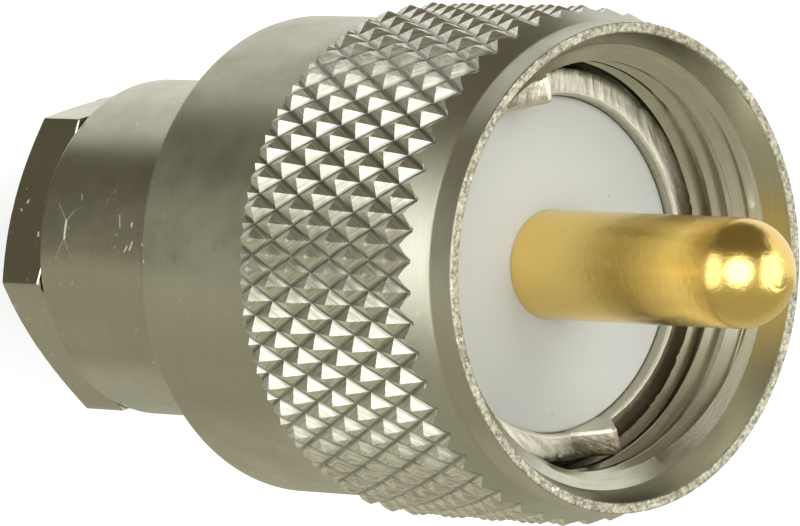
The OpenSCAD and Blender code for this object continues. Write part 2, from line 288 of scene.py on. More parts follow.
def shell_angles(radius):
    angles = []
    for number, start in enumerate(tooth_turns):
        following = tooth_turns[(number + 1) % 2] + 360 * (number == 1)
        on_tooth = [math.radians(start) + math.asin(d / radius) for d in tooth_across]
        first = on_tooth[-1]
        last = math.radians(following) + math.asin(tooth_across[0] / radius)
        angles += on_tooth
        angles += [first + (last - first) * k / between_teeth for k in range(1, between_teeth)]
    return angles


def tooth_rise(radius, angle):
    rise = 0.0
    for start in tooth_turns:
        away = abs((math.degrees(angle) - start + 180) % 360 - 180)
        if away < 30:
            d = radius * math.sin(math.radians(away))
            slope = (tooth_foot / 2 - d) / (tooth_foot / 2 - tooth_crest / 2)
            rise = max(rise, tooth_height * min(1.0, max(0.0, slope)))
    return rise


def collar_ring(radius, drop, rough):
    angles = shell_angles(max(radius, 6.0))
    heights = []
    radii = []
    for a in angles:
        rise = tooth_rise(radius, a)
        ragged = noise.noise(Vector((math.cos(a) * 22, math.sin(a) * 22, radius * 3)))
        ragged += 0.6 * noise.noise(Vector((math.cos(a) * 60, math.sin(a) * 60, radius * 7)))
        heights.append(collar_front_z + rise - drop + min(0.0, rough * ragged * 0.5))
        radii.append(radius + min(0.0, rough * ragged))
    return ring(radii, heights, angles)


plain_angles = shell_angles(6.6)
shell_outside = round_corners([
    (neck_bore_r, shell_rear_z + 1, 0), (neck_bore_r, shell_rear_z, 0.15), (neck_r, shell_rear_z, 0.10),
    (neck_r, groove_z[0], 0.06), (groove_r, groove_z[0], 0), (groove_r, groove_z[1], 0),
    (neck_r, groove_z[1], 0.06), (neck_r, collar_z, 0), (collar_r, collar_z, 0.08), (collar_r, 23.0, 0),
])
shell_inside = [
    (cup_r, 22.9), (cup_r, cup_floor_z), (barrel_r, cup_floor_z), (barrel_r, barrel_z),
    (web_hole_r, barrel_z), (web_hole_r, web_z), (neck_bore_r, web_z),
]
shell_rings = turned_rings(shell_outside, plain_angles)
shell_rings += [ring([collar_r] * len(plain_angles), [23.4] * len(plain_angles), plain_angles)]
for radius, drop, rough in ((collar_r, 0.10, 0.05), (collar_r - 0.03, 0.03, 0.10), (collar_r - 0.12, 0.0, 0.05),
                            (6.8, 0.0, 0.02), (6.5, 0.0, 0.02), (cup_r + 0.15, 0.0, 0.02),
                            (cup_r + 0.08, 0.03, 0.05), (cup_r + 0.015, 0.09, 0.02)):
    shell_rings.append(collar_ring(radius, drop, rough))
shell_rings += turned_rings(shell_inside, plain_angles)

neck_nicks = (
    ((-6.24, 0.79, 3.91), (-6.29, 0.13, 3.89), 0.090, 0.90),
    ((-6.13, 1.41, 3.34), (-6.24, 0.79, 3.91), 0.053, 0.48),
    ((-6.24, 0.79, 3.91), (-6.19, 1.14, 4.23), 0.053, 0.51),
    ((-6.19, 1.14, 4.23), (-6.15, 1.34, 4.64), 0.075, 0.37),
    ((-6.29, 0.13, 3.89), (-6.28, -0.26, 3.64), 0.053, 0.48),
    ((-6.28, -0.26, 3.64), (-6.26, -0.64, 3.43), 0.053, 0.42),
    ((-6.29, 0.13, 3.89), (-6.28, -0.32, 4.12), 0.053, 0.48),
    ((-6.28, -0.32, 4.12), (-6.27, -0.55, 4.31), 0.053, 0.37),
    ((-6.03, 1.80, 4.47), (-6.08, 1.60, 4.56), 0.060, 0.60),
    ((-5.97, 1.97, 6.25), (-5.99, 1.92, 6.26), 0.070, 0.60),
    ((-6.06, 1.67, 5.97), (-6.09, 1.56, 5.93), 0.045, 0.50),
    ((-6.20, 1.08, 6.80), (-6.26, 0.64, 6.91), 0.053, 0.68),
    ((-6.24, 0.79, 7.54), (-6.25, 0.68, 7.54), 0.065, 0.95),
    ((-6.29, 0.11, 7.66), (-6.29, -0.19, 7.52), 0.060, 0.77),
    ((-6.29, -0.06, 7.38), (-6.29, -0.25, 7.25), 0.060, 0.77),
)
shell_nickel, tree, shader = nickel_plate(
    "shell_nickel", satin_nickel, 0.26, 0.0008, 0.0022, 0.06, 0.5, neck_nicks)
# Painted reflection: a bluish tint, at most half strength, is painted on the shell along its side that faces −Y.
place = add_node(tree, "ShaderNodeTexCoord").outputs["Object"]
toward_blue_side = add_node(tree, "ShaderNodeVectorMath", {0: place, 1: (-0.20 / MM, -0.98 / MM, 0)},
                      operation="DOT_PRODUCT").outputs["Value"]
painted_blue_reflection = add_node(tree, "ShaderNodeMapRange", {
    "Value": toward_blue_side, "From Min": 5.95, "From Max": 6.25, "To Min": 0.0, "To Max": 0.5}).outputs[0]
plain_colour = shader.inputs["Base Color"].links[0].from_socket
colour = add_node(tree, "ShaderNodeMix", {0: painted_blue_reflection, 6: plain_colour, 7: (0.36, 0.44, 0.43, 1)},
                  data_type="RGBA").outputs[2]
tree.links.new(colour, shader.inputs["Base Color"])

# The collar's face and teeth keep the marks of the cutter that milled them. Painted shade darkens the face toward
# +X and −Y, and the teeth are painted lighter.
milled_nickel, tree, shader = new_material("milled_nickel")
place = add_node(tree, "ShaderNodeTexCoord").outputs["Object"]
millimetres = add_node(tree, "ShaderNodeVectorMath", {0: place, 1: (1000, 1000, 0)}, operation="MULTIPLY")
from_cutter = add_node(tree, "ShaderNodeVectorMath", {0: millimetres.outputs[0], 1: (9.5, 7.5, 0)},
                       operation="DISTANCE").outputs["Value"]
milling = add_node(tree, "ShaderNodeTexNoise", {
    "Vector": millimetres.outputs[0], "W": calculate(tree, "MULTIPLY", from_cutter, 9.0),
    "Scale": 0.45, "Detail": 4.0, "Roughness": 0.75}, noise_dimensions="4D").outputs["Fac"]
pits = add_node(tree, "ShaderNodeTexNoise", {
    "Vector": place, "Scale": 5200.0, "Detail": 3.0, "Roughness": 0.65}).outputs["Fac"]
shade = add_node(tree, "ShaderNodeMapRange", {
    "Value": milling, "From Min": 0.36, "From Max": 0.62, "To Min": 0.0, "To Max": 1.0}).outputs[0]
colour = add_node(tree, "ShaderNodeMix", {
    0: shade, 6: (0.31, 0.29, 0.225, 1), 7: (0.59, 0.58, 0.505, 1)}, data_type="RGBA").outputs[2]
# Painted shade: the face is painted dark brown toward +X and −Y, with a ragged edge from the milling and pit noise.
toward_shaded_side = add_node(tree, "ShaderNodeVectorMath", {0: millimetres.outputs[0], 1: (0.86, -0.50, 0)},
                    operation="DOT_PRODUCT").outputs["Value"]
ragged_shade_reach = calculate(tree, "MULTIPLY_ADD", pits, 2.4, calculate(tree, "MULTIPLY_ADD", milling, 3.0, toward_shaded_side))
painted_shade = add_node(tree, "ShaderNodeMapRange", {
    "Value": ragged_shade_reach, "From Min": 5.1, "From Max": 7.9, "To Min": 0.0, "To Max": 0.93}).outputs[0]
colour = add_node(tree, "ShaderNodeMix", {0: painted_shade, 6: colour, 7: (0.085, 0.066, 0.040, 1)},
                  data_type="RGBA").outputs[2]
# Painted light: the teeth above the collar's face are painted up to 1.45 times lighter than the face.
teeth_painted_lighter = add_node(tree, "ShaderNodeMapRange", {
    "Value": turned_coordinates(tree)[3], "From Min": 24.0, "From Max": 24.6,
    "To Min": 1.0, "To Max": 1.45}).outputs[0]
colour = add_node(tree, "ShaderNodeVectorMath", {0: colour, 1: teeth_painted_lighter}, operation="MULTIPLY").outputs[0]
tree.links.new(colour, shader.inputs["Base Color"])
shader.inputs["Metallic"].default_value = 1.0
shader.inputs["Roughness"].default_value = 0.36
first = add_node(tree, "ShaderNodeBump", {"Strength": 1.0, "Distance": 0.028 * MM, "Height": milling})
second = add_node(tree, "ShaderNodeBump", {
    "Strength": 1.0, "Distance": 0.010 * MM, "Height": pits, "Normal": first.outputs[0]})
tree.links.new(second.outputs[0], shader.inputs["Normal"])

points, faces = join_rings(shell_rings)
shell = make_piece("shell_turned", points, faces, shell_nickel)
# Painted highlight: the cup's ragged inner edge is a real burr, and its near-white colour is a painted highlight
# along it.
burr_highlight_nickel, tree, shader = nickel_plate(
    "burr_highlight_nickel", ((0.90, 0.89, 0.80, 1), (0.68, 0.66, 0.55, 1)), 0.50, 0.004, 0.012, 0.3, 0.8)
shell.data.materials.append(milled_nickel)
shell.data.materials.append(burr_highlight_nickel)
for polygon in shell.data.polygons:
    out = math.hypot(polygon.center.x, polygon.center.y) / MM
    if polygon.center.z > 23.45 * MM and out > cup_r - 0.01:
        polygon.material_index = 1 if out > cup_r + 0.13 else 2
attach(shell, "plug")
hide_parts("shell")


# The front insulator is turned from white fluoroplastic and pressed into the shell's cup. Its face
# lies a little behind the collar's face, and the pin's neck fills its bore.
face_z = 23.2
insulator_tail_z = 17.0
pin_neck_r = 1.75
pocket_r = 2.5
pocket_z = 17.9

ptfe, tree, shader = new_material("white_fluoroplastic")
coordinates = turned_coordinates(tree)
marks = tool_marks(tree, coordinates, 9.0, 2.0)
place = add_node(tree, "ShaderNodeTexCoord").outputs["Object"]
cloud = add_node(tree, "ShaderNodeTexNoise", {
    "Vector": place, "Scale": 260.0, "Detail": 3.0, "Roughness": 0.5}).outputs["Fac"]
colour = add_node(tree, "ShaderNodeMix", {
    0: cloud, 6: (0.515, 0.522, 0.490, 1), 7: (0.495, 0.505, 0.478, 1)}, data_type="RGBA").outputs[2]
for spot in ((0.47, -5.39, 23.2), (2.84, 2.58, 23.2)):
    dot = calculate(tree, "MULTIPLY", near_line(tree, place, spot, spot, 0.06), 0.6)
    colour = add_node(tree, "ShaderNodeMix", {0: dot, 6: colour, 7: (0.16, 0.15, 0.12, 1)},
                      data_type="RGBA").outputs[2]
tree.links.new(colour, shader.inputs["Base Color"])
shader.inputs["Roughness"].default_value = 0.55
shader.inputs["Specular IOR Level"].default_value = 0.35
shader.inputs["Subsurface Weight"].default_value = 0.25
shader.inputs["Subsurface Radius"].default_value = (0.0006, 0.0006, 0.0005)
shader.inputs["Subsurface Scale"].default_value = 1.0
bump = add_node(tree, "ShaderNodeBump", {"Strength": 0.5, "Distance": 0.003 * MM, "Height": marks})
tree.links.new(bump.outputs[0], shader.inputs["Normal"])

insulator_profile = round_corners([
    (pocket_r, insulator_tail_z, 0), (barrel_r - 0.005, insulator_tail_z, 0.1),
    (barrel_r - 0.005, cup_floor_z + 0.005, 0), (cup_r - 0.005, cup_floor_z + 0.005, 0),
    (cup_r - 0.005, face_z, 0.10), (pin_neck_r + 0.003, face_z, 0.05),
    (pin_neck_r + 0.003, pocket_z, 0), (pocket_r, pocket_z, 0),
])
points, faces = join_rings(turned_rings(insulator_profile, even_angles(240)))
front_insulator = make_piece("front_insulator_disc", points, faces, ptfe)
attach(front_insulator, "plug")
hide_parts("front_insulator")
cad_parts["rear_insulator"].material_slots[0].material = ptfe


# The centre contact is turned brass with bright gold plate: a solder cup, a collar between the two
# insulators, a neck, and the long pin with its round tip.
pin_r = 1.98
tip_z = 34.8
contact_collar_r = 2.5
solder_cup_r = 1.55
solder_cup_z = 15.3
solder_bore_r = 0.6
solder_bore_floor_z = 18.1
dome_steps = 24

gold, tree, shader = new_material("bright_gold_plate")
coordinates = turned_coordinates(tree)
marks = tool_marks(tree, coordinates, 14.0, 4.0)
place = add_node(tree, "ShaderNodeTexCoord").outputs["Object"]
cloud = add_node(tree, "ShaderNodeTexNoise", {
    "Vector": place, "Scale": 700.0, "Detail": 4.0, "Roughness": 0.6}).outputs["Fac"]
colour = add_node(tree, "ShaderNodeMix", {
    0: cloud, 6: (0.95, 0.71, 0.25, 1), 7: (0.89, 0.64, 0.195, 1)}, data_type="RGBA").outputs[2]
tree.links.new(colour, shader.inputs["Base Color"])
rough = add_node(tree, "ShaderNodeMapRange", {
    "Value": coordinates[3], "From Min": 32.6, "From Max": 33.0, "To Min": 0.19, "To Max": 0.215}).outputs[0]
tree.links.new(rough, shader.inputs["Roughness"])
grain = add_node(tree, "ShaderNodeTexNoise", {
    "Vector": place, "Scale": 9000.0, "Detail": 2.0, "Roughness": 0.6}).outputs["Fac"]
first = add_node(tree, "ShaderNodeBump", {"Strength": 1.0, "Distance": 0.0008 * MM, "Height": marks})
second = add_node(tree, "ShaderNodeBump", {
    "Strength": 1.0, "Distance": 0.0032 * MM, "Height": grain, "Normal": first.outputs[0]})
peel = add_node(tree, "ShaderNodeTexNoise", {
    "Vector": place, "Scale": 5000.0, "Detail": 3.0, "Roughness": 0.65}).outputs["Fac"]
bump = add_node(tree, "ShaderNodeBump", {
    "Strength": 1.0, "Distance": 0.0105 * MM, "Height": peel, "Normal": second.outputs[0]})
tree.links.new(bump.outputs[0], shader.inputs["Normal"])
shader.inputs["Metallic"].default_value = 1.0

dome_z = tip_z - pin_r
contact_profile = [
    (0, solder_bore_floor_z), (solder_bore_r, solder_bore_floor_z), (solder_bore_r, solder_cup_z),
    (solder_cup_r, solder_cup_z), (solder_cup_r, insulator_tail_z), (contact_collar_r, insulator_tail_z),
    (contact_collar_r, pocket_z), (pin_neck_r, pocket_z), (pin_neck_r, face_z), (pin_r - 0.02, face_z),
    (pin_r, face_z + 0.02), (pin_r, 26.0), (pin_r, 29.5),
]
for step in range(dome_steps - 4):
    rise = math.pi / 2 * step / dome_steps
    contact_profile.append((pin_r * math.cos(rise), dome_z + pin_r * math.sin(rise)))
for out, depth in ((0.54, 0), (0.50, 0.014), (0.46, 0.004), (0.25, 0), (0, 0)):
    contact_profile.append((out, dome_z + math.sqrt(pin_r ** 2 - out ** 2) - depth))
points, faces = join_rings(turned_rings(contact_profile, even_angles(160)), closed=False)
center_contact = make_piece("contact_pin", points, faces, gold)
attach(center_contact, "plug")
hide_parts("center_contact")


# The coupling nut is turned from brass, rolled with a diamond knurl, threaded inside and plated
# with satin nickel. It turns on the retaining ring behind the shell's collar.
nut_rear_z = 10.85
rim_z = 27.23
nut_r = 8.8
flange_bore_r = 6.35
flange_front_z = 12.25
recess_r = 8.1
thread_rear_z = 19.75
thread_front_z = 26.25
thread_minor_r = 7.4
thread_major_r = 7.94
lead_r = 8.0
lead_slope = math.tan(math.radians(60))
mouth_r = 8.44
thread_pitch = 25.4 / 24
diamonds = 52
half_diamond = 1.015
crest_r = 9.4
root_r = 9.08
knurl_rear_z = 16.71
first_level_z = knurl_rear_z + half_diamond / 2
last_level = 8
chamfer_start_z = 25.5075
chamfer_end_z = 26.0575
knurl_turn = 4.3
knurl_rise = crest_r - root_r
knurl_slope = knurl_rise / half_diamond
chamfer_slope = (root_r - nut_r) / (chamfer_end_z - chamfer_start_z)
column_steps = (0.0, 0.08, 0.5, 0.92)
down_steps = (0.0, 0.09, 0.5, 0.93)
up_steps = (0.0, 0.07, 0.5, 0.91)

columns = [m + part for m in range(2 * diamonds) for part in column_steps]
nut_angles = [math.radians(knurl_turn) + s * math.pi / diamonds for s in columns]
even_nut_angles = even_angles(len(columns), knurl_turn)


def ridge_height(s, level):
    """Height of the knurl on a level line, from 1 on a point to 0 in a groove."""
    part = s - math.floor(s)
    return 1 - part if (math.floor(s) + level) % 2 == 0 else part


def knurl_ring(places):
    """A ring of the knurl from each column's height z and its rise above the groove, 0 to 1."""
    radii = []
    heights = []
    for (z, rise), a in zip(places, nut_angles):
        worn = rise if rise < 0.92 else 0.92 + (rise - 0.92) * 0.3
        ragged_shade_reach = noise.noise(Vector((math.cos(a) * 9, math.sin(a) * 9, z * 1.1))) * 0.012 * rise
        radii.append(max(root_r + 0.012, root_r + knurl_rise * worn) + min(ragged_shade_reach, 0.0))
        heights.append(z)
    return ring(radii, heights, nut_angles)


knurl_rings = []
level_z = [first_level_z + half_diamond * level for level in range(last_level + 2)]
behind = [min(0.5, ridge_height(s, 0)) for s in columns]
knurl_rings.append(knurl_ring([(knurl_rear_z, abs(ridge_height(s, 0) - 0.5)) for s in columns]))
for t in (0.5, 0.92):
    places = []
    for s, valley in zip(columns, behind):
        away = 0.5 + (valley - 0.5) * t
        places.append((level_z[0] - away * half_diamond, abs(ridge_height(s, 0) - away)))
    knurl_rings.append(knurl_ring(places))
for t in (0.0, 0.07, 0.5, 0.91):
    places = []
    for s, valley in zip(columns, behind):
        away = valley * (1 - t)
        places.append((level_z[0] - away * half_diamond, abs(ridge_height(s, 0) - away)))
    knurl_rings.append(knurl_ring(places))
for level in range(last_level - 1):
    for t in down_steps:
        knurl_rings.append(knurl_ring([
            (level_z[level] + ridge_height(s, level) * half_diamond * t, ridge_height(s, level) * (1 - t))
            for s in columns]))
    for t in up_steps:
        places = []
        for s in columns:
            fall = ridge_height(s, level)
            places.append((level_z[level] + half_diamond * (fall + (1 - fall) * t), (1 - fall) * t))
        knurl_rings.append(knurl_ring(places))


def chamfer_cut(s):
    """Where the knurl, followed forward from the last full level, meets the chamfer's cone."""
    fall = ridge_height(s, last_level - 1)
    valley_z = level_z[last_level - 1] + fall * half_diamond
    cut = (chamfer_start_z * chamfer_slope + valley_z * knurl_slope) / (chamfer_slope + knurl_slope)
    if cut <= level_z[last_level]:
        return cut
    top = (1 - fall) * knurl_rise + level_z[last_level] * knurl_slope
    cut = (chamfer_start_z * chamfer_slope - top) / (chamfer_slope - knurl_slope)
    next_valley = level_z[last_level] + (1 - fall) * half_diamond
    if cut <= next_valley:
        return cut
    return (chamfer_start_z * chamfer_slope + next_valley * knurl_slope) / (chamfer_slope + knurl_slope)


def knurl_rise_at(s, z):
    place = (z - first_level_z) / half_diamond
    level = math.floor(place)
    along = place - level
    return abs(ridge_height(s, level) - along)


cuts = [chamfer_cut(s) for s in columns]
for part in range(3):
    for t in down_steps[:4]:
        places = []
        for s, cut in zip(columns, cuts):
            fall = ridge_height(s, last_level - 1)
            marks_z = [level_z[last_level - 1],
                       min(cut, level_z[last_level - 1] + fall * half_diamond),
                       min(cut, level_z[last_level]), cut]
            z = marks_z[part] + (marks_z[part + 1] - marks_z[part]) * t
            places.append((z, knurl_rise_at(s, z)))
        knurl_rings.append(knurl_ring(places))
cone_radii = [root_r + (chamfer_start_z - cut) * chamfer_slope for cut in cuts]
knurl_rings.append(ring(cone_radii, cuts, nut_angles))

nut_rear = round_corners([
    (recess_r, thread_rear_z, 0), (recess_r, flange_front_z, 0.1), (flange_bore_r, flange_front_z, 0.05),
    (flange_bore_r, nut_rear_z, 0.08), (nut_r, nut_rear_z, 0.13), (nut_r, knurl_rear_z, 0),
])
nut_front = round_corners([
    (root_r - 0.2 * chamfer_slope, chamfer_start_z + 0.2, 0), (nut_r, chamfer_end_z, 0.09),
    (nut_r, rim_z, 0.07), (mouth_r, rim_z, 0.06), (lead_r, thread_front_z, 0),
])

# The thread is one spiral skin: its rings climb by a pitch in each turn, so that the last point of
# one ring is the first of the ring ten further on.
thread_shape = ((0.00, 7.415), (0.03, 7.40), (0.22, 7.40), (0.25, 7.415), (0.40, 7.67),
                (0.545, 7.915), (0.575, 7.94), (0.675, 7.94), (0.705, 7.915), (0.85, 7.67))
ring_count = len(thread_shape)
turns = math.ceil((thread_front_z - thread_rear_z) / thread_pitch) + 2
spiral_starts = [thread_rear_z - thread_pitch * (1 - share) + thread_pitch * number
                 for number in range(turns) for share, radius in thread_shape]


def thread_radius(z, angle):
    phase = (z - thread_rear_z) / thread_pitch - angle / (2 * math.pi)
    phase -= math.floor(phase)
    shape = list(thread_shape) + [(1.0, thread_shape[0][1])]
    for (low, low_r), (high, high_r) in zip(shape, shape[1:]):
        if low <= phase <= high:
            radius = low_r + (high_r - low_r) * (phase - low) / (high - low)
            break
    return max(radius, lead_r - (thread_front_z - z) * lead_slope)


nut_points = []
nut_faces = []
nut_count = len(nut_angles)
turn_start = nut_angles[0]
for start in spiral_starts:
    for a in even_nut_angles:
        climb = thread_pitch * (a - turn_start) / (2 * math.pi)
        z = min(thread_front_z, max(thread_rear_z, start + climb))
        r = thread_radius(z, a - turn_start)
        nut_points.append((r * MM * math.cos(a), r * MM * math.sin(a), z * MM))
last_ring = len(spiral_starts) - 1


def spiral_point(number, i):
    if i == nut_count:
        number, i = number + ring_count, 0
    return min(number, last_ring) * nut_count + i


for number in range(last_ring):
    for i in range(nut_count):
        nut_faces.append((spiral_point(number, i), spiral_point(number, i + 1),
                          spiral_point(number + 1, i + 1), spiral_point(number + 1, i)))

skin_rings = [nut_points[:nut_count]]
skin_rings += turned_rings(nut_rear, even_nut_angles)
skin_rings += knurl_rings
skin_rings += turned_rings(nut_front, even_nut_angles)
skin_rings += [nut_points[last_ring * nut_count:]]
points, faces = join_rings(skin_rings, closed=False)
offset = len(nut_points)
nut_points += points
nut_faces += [tuple(corner + offset for corner in face) for face in faces]

nut_nicks = (
    ((-8.80, 0.05, 10.98), (-8.80, 0.00, 11.00), 0.060, 0.80),
    ((-8.78, -0.56, 11.08), (-8.78, -0.62, 11.10), 0.060, 0.70),
)
nut_nickel, tree, shader = nickel_plate(
    "nut_nickel", satin_nickel, 0.33, 0.0012, 0.003, 0.08, 0.25, nut_nicks)
bore_nickel, tree, shader = nickel_plate(
    "bore_nickel", ((0.68, 0.675, 0.58, 1), (0.60, 0.59, 0.48, 1)), 0.21, 0.0007, 0.0022, 0.12)
rim_nickel, tree, shader = nickel_plate(
    "rim_nickel", ((0.47, 0.46, 0.385, 1), (0.37, 0.355, 0.275, 1)), 0.46, 0.002, 0.045, 0.2, 0.8)
place = add_node(tree, "ShaderNodeTexCoord").outputs["Object"]
blotches = add_node(tree, "ShaderNodeTexNoise", {
    "Vector": place, "Scale": 5500.0, "Detail": 3.0, "Roughness": 0.7}).outputs["Fac"]
blotches = add_node(tree, "ShaderNodeMapRange", {
    "Value": blotches, "From Min": 0.36, "From Max": 0.64, "To Min": 0.55, "To Max": 1.75}).outputs[0]
plain_colour = shader.inputs["Base Color"].links[0].from_socket
colour = add_node(tree, "ShaderNodeVectorMath", {0: plain_colour, 1: blotches}, operation="MULTIPLY").outputs[0]
tree.links.new(colour, shader.inputs["Base Color"])
chamfer_nickel, tree, shader = nickel_plate(
    "chamfer_nickel", ((0.58, 0.58, 0.505, 1), (0.54, 0.54, 0.455, 1)), 0.30, 0.001, 0.003, 0.08, 0.25)

# The rolled knurl is brighter, drawn lines run along the flanks of its grooves, and painted shade darkens the
# grooves towards their bottoms.
knurl_nickel, tree, shader = new_material("knurl_nickel")
radius, cosine, sine, height = turned_coordinates(tree)
place = add_node(tree, "ShaderNodeTexCoord").outputs["Object"]
drawn = add_node(tree, "ShaderNodeTexNoise", {
    "Vector": place, "W": calculate(tree, "MULTIPLY", radius, 0.024), "Scale": 1100.0,
    "Detail": 2.0, "Roughness": 0.6}, noise_dimensions="4D").outputs["Fac"]
grain = add_node(tree, "ShaderNodeTexNoise", {
    "Vector": place, "Scale": 12000.0, "Detail": 2.0, "Roughness": 0.6}).outputs["Fac"]
shade = add_node(tree, "ShaderNodeMapRange", {
    "Value": drawn, "From Min": 0.38, "From Max": 0.6, "To Min": 0.0, "To Max": 1.0}).outputs[0]
colour = add_node(tree, "ShaderNodeMix", {
    0: shade, 6: (0.59, 0.585, 0.49, 1), 7: (0.86, 0.86, 0.78, 1)}, data_type="RGBA").outputs[2]
# Painted shade: the knurl's colour falls to 0.45 of itself towards the bottoms of its grooves.
painted_groove_shade = add_node(tree, "ShaderNodeMapRange", {
    "Value": radius, "From Min": root_r + 0.015, "From Max": root_r + 0.075,
    "To Min": 0.45, "To Max": 1.0}).outputs[0]
colour = add_node(tree, "ShaderNodeVectorMath", {0: colour, 1: painted_groove_shade}, operation="MULTIPLY").outputs[0]
tree.links.new(colour, shader.inputs["Base Color"])
worn = add_node(tree, "ShaderNodeMapRange", {
    "Value": radius, "From Min": crest_r - 0.07, "From Max": crest_r - 0.03,
    "To Min": 0.33, "To Max": 0.50}).outputs[0]
tree.links.new(worn, shader.inputs["Roughness"])
first = add_node(tree, "ShaderNodeBump", {"Strength": 1.0, "Distance": 0.0045 * MM, "Height": drawn})
second = add_node(tree, "ShaderNodeBump", {
    "Strength": 1.0, "Distance": 0.003 * MM, "Height": grain, "Normal": first.outputs[0]})
tree.links.new(second.outputs[0], shader.inputs["Normal"])
shader.inputs["Metallic"].default_value = 1.0

coupling_nut = make_piece("coupling_nut_knurled", nut_points, nut_faces, nut_nickel, 18)


def on_chamfer(mesh, polygon):
    for corner in polygon.vertices:
        place = mesh.vertices[corner].co / MM
        cone = root_r + (chamfer_start_z - place.z) * chamfer_slope
        if abs(math.hypot(place.x, place.y) - cone) > 0.004:
            return False
    return True


for plating in (knurl_nickel, bore_nickel, rim_nickel, chamfer_nickel):
    coupling_nut.data.materials.append(plating)
for polygon in coupling_nut.data.polygons:
    out = math.hypot(polygon.center.x, polygon.center.y) / MM
    level = polygon.center.z / MM
    if out > root_r - 0.20 and knurl_rear_z - 0.01 < level < chamfer_end_z - 0.02:
        polygon.material_index = 4 if on_chamfer(coupling_nut.data, polygon) else 1
    elif out < mouth_r - 0.05:
        polygon.material_index = 2
    elif level > rim_z - 0.05:
        polygon.material_index = 3
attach(coupling_nut, "nut")
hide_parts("coupling_nut")


# The retaining ring is a split brass ring in the shell's groove. It stays as it comes from the
# plug's frame, with a plain turned finish.
brass, tree, shader = new_material("turned_brass")
coordinates = turned_coordinates(tree)
marks = tool_marks(tree, coordinates, 12.0, 3.0)
colour = add_node(tree, "ShaderNodeMix", {
    0: marks, 6: (0.80, 0.62, 0.33, 1), 7: (0.70, 0.52, 0.25, 1)}, data_type="RGBA").outputs[2]
tree.links.new(colour, shader.inputs["Base Color"])
shader.inputs["Metallic"].default_value = 1.0
shader.inputs["Roughness"].default_value = 0.32
bump = add_node(tree, "ShaderNodeBump", {"Strength": 1.0, "Distance": 0.004 * MM, "Height": marks})
tree.links.new(bump.outputs[0], shader.inputs["Normal"])
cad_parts["retaining_ring"].material_slots[0].material = brass


# The clamp nut is cut from hexagonal brass bar: its rear corners are turned off at 30 degrees, and
# its hollow threaded shank screws into the shell's neck.
hex_flat_r = 5.6
hex_corner_r = 6.452
hex_turn = 14.6
hex_front_z = 2.45
hex_chamfer = math.tan(math.radians(30))
shank_r = 4.7
shank_root_r = 4.35
shank_end_z = 7.45
cable_r = 2.75
shank_pitch = 25.4 / 32

hex_angles = [math.radians(hex_turn + 60 * side + part)
              for side in range(6)
              for part in (0, 0.6, 1.5, 4, 8, 13, 18, 24, 30, 36, 42, 47, 52, 56, 58.5, 59.4)]


def hex_radius(angle):
    across = (math.degrees(angle) - hex_turn) % 60 - 30
    return min(hex_corner_r, hex_flat_r / math.cos(math.radians(across)))


hex_radii = [hex_radius(a) for a in hex_angles]
hex_count = len(hex_angles)
hex_rings = turned_rings(round_corners([
    (shank_root_r, shank_end_z, 0), (cable_r, shank_end_z, 0.1), (cable_r, 0.4, 0), (cable_r + 0.4, 0, 0),
    (hex_flat_r - 0.03, 0, 0)], 2), hex_angles)
hex_rings.append(ring([hex_flat_r + 0.01] * hex_count, [0.012] * hex_count, hex_angles))
hex_rings.append(ring(hex_radii, [max(0.02, (r - hex_flat_r) * hex_chamfer) for r in hex_radii], hex_angles))
hex_rings.append(ring(hex_radii, [max(0.06, (r - hex_flat_r) * hex_chamfer + 0.05) for r in hex_radii],
                      hex_angles))
hex_rings.append(ring(hex_radii, [hex_front_z - 0.04] * hex_count, hex_angles))
hex_rings.append(ring([r - 0.04 for r in hex_radii], [hex_front_z] * hex_count, hex_angles))
shank_profile = [(shank_r, hex_front_z), (shank_r, hex_front_z + 0.2), (shank_root_r, hex_front_z + 0.5)]
thread_turns = int((shank_end_z - 0.5 - hex_front_z - 0.5) / shank_pitch)
for number in range(thread_turns):
    start = hex_front_z + 0.5 + number * shank_pitch
    shank_profile += [(shank_root_r, start + 0.05), (shank_r, start + 0.37), (shank_r, start + 0.45),
                      (shank_root_r, start + 0.77)]
hex_rings += turned_rings(shank_profile, hex_angles)

hexagon_nicks = (
    ((-5.72, 0.30, 1.79), (-5.76, 0.17, 1.84), 0.070, 0.90),
    ((-5.85, -0.16, 1.85), (-5.85, -0.17, 1.87), 0.170, 0.24),
    ((-6.21, -1.44, 1.85), (-6.21, -1.46, 1.85), 0.080, 0.50),
    ((-5.40, 1.50, 0.18), (-5.40, 1.44, 0.20), 0.080, 0.30),
    ((-5.65, 0.60, 0.20), (-5.65, 0.55, 0.21), 0.080, 0.35),
    ((-5.72, 0.30, 0.28), (-5.73, 0.25, 0.30), 0.090, 0.35),
    ((-5.76, 0.20, 0.62), (-5.76, 0.16, 0.64), 0.070, 0.25),
)
hex_nickel, tree, shader = nickel_plate(
    "hexagon_nickel", satin_nickel, 0.20, 0.001, 0.002, 0.05, 0.8, hexagon_nicks)
points, faces = join_rings(hex_rings)
clamp_nut = make_piece("clamp_nut_hexagon", points, faces, hex_nickel, 14)
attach(clamp_nut, "clamp")
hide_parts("clamp_nut")


